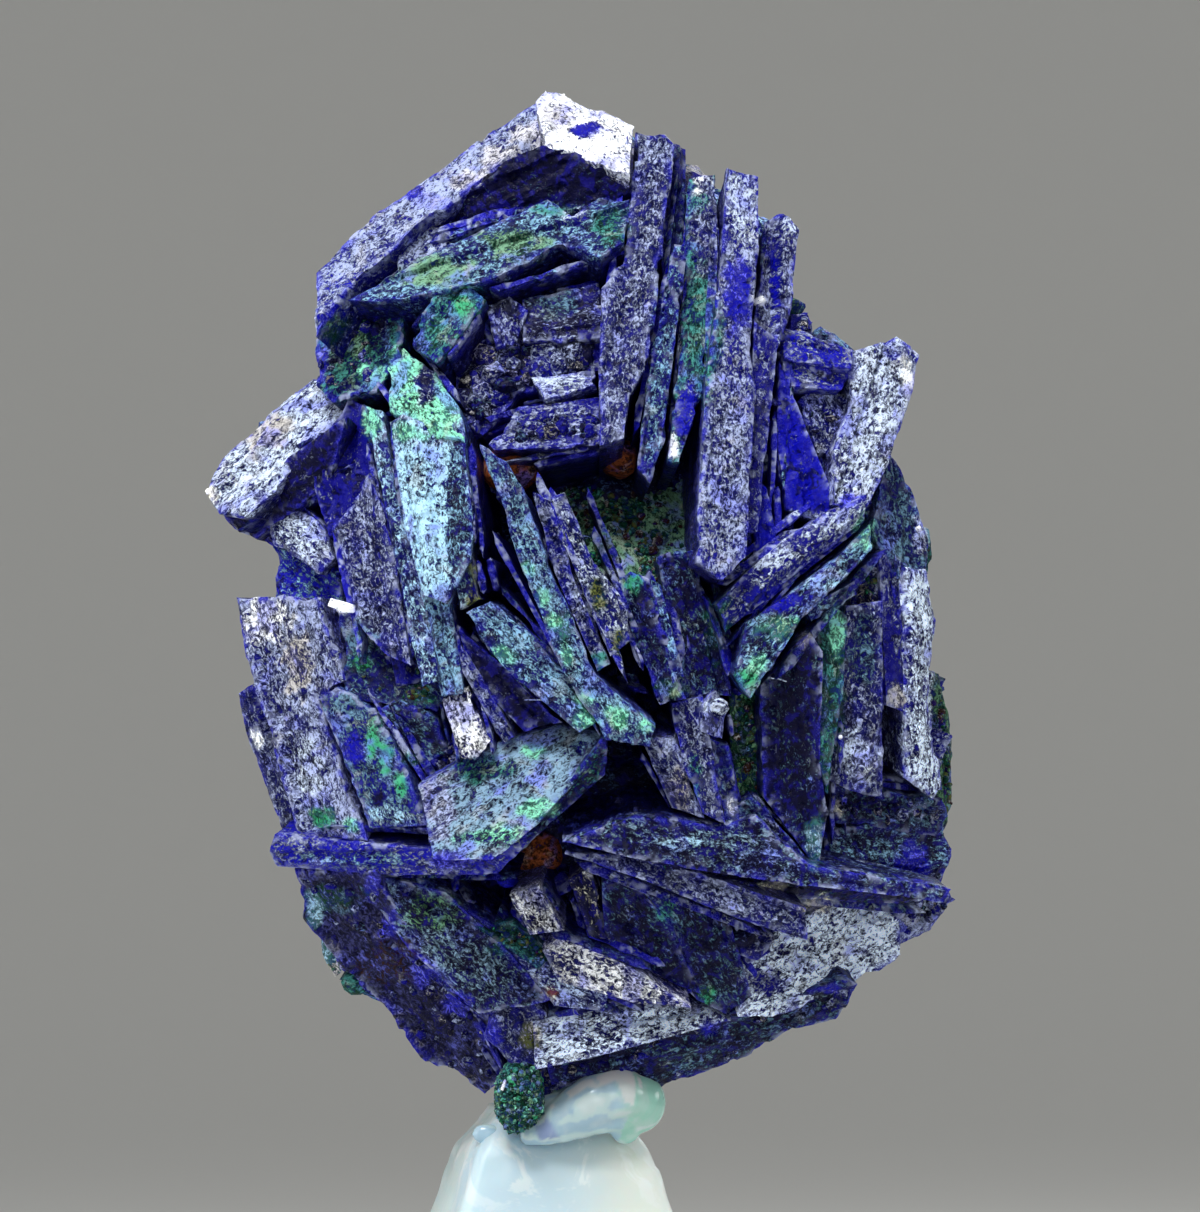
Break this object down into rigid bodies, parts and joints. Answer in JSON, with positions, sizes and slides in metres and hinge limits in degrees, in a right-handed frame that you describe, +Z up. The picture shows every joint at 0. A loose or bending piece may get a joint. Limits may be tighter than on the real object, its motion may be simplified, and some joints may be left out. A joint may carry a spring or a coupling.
{
  "type": "azurite malachite specimen",
  "caption": "Cluster of bladed blue azurite crystals with green malachite, fixed with clear glue on a small frosted tapered stand.",
  "frame": {"origin": "middle of the stand's square foot, on the surface it stands on", "axes": "+Z up, +X to the right of the specimen as its best side is seen, the best side faces -Y"},
  "size_m": [0.03, 0.0223, 0.0568],
  "materials": {
    "azurite": "deep ultramarine blades with a pale lilac and white speckled bloom and green malachite patches",
    "glue": "clear soft glue, smooth and glossy",
    "stand": "frosted translucent white, satin"
  },
  "bodies": {
    "root": {"azurite_cluster": "azurite", "glue_bead": "glue", "pedestal": "stand"}
  },
  "joints": []
}
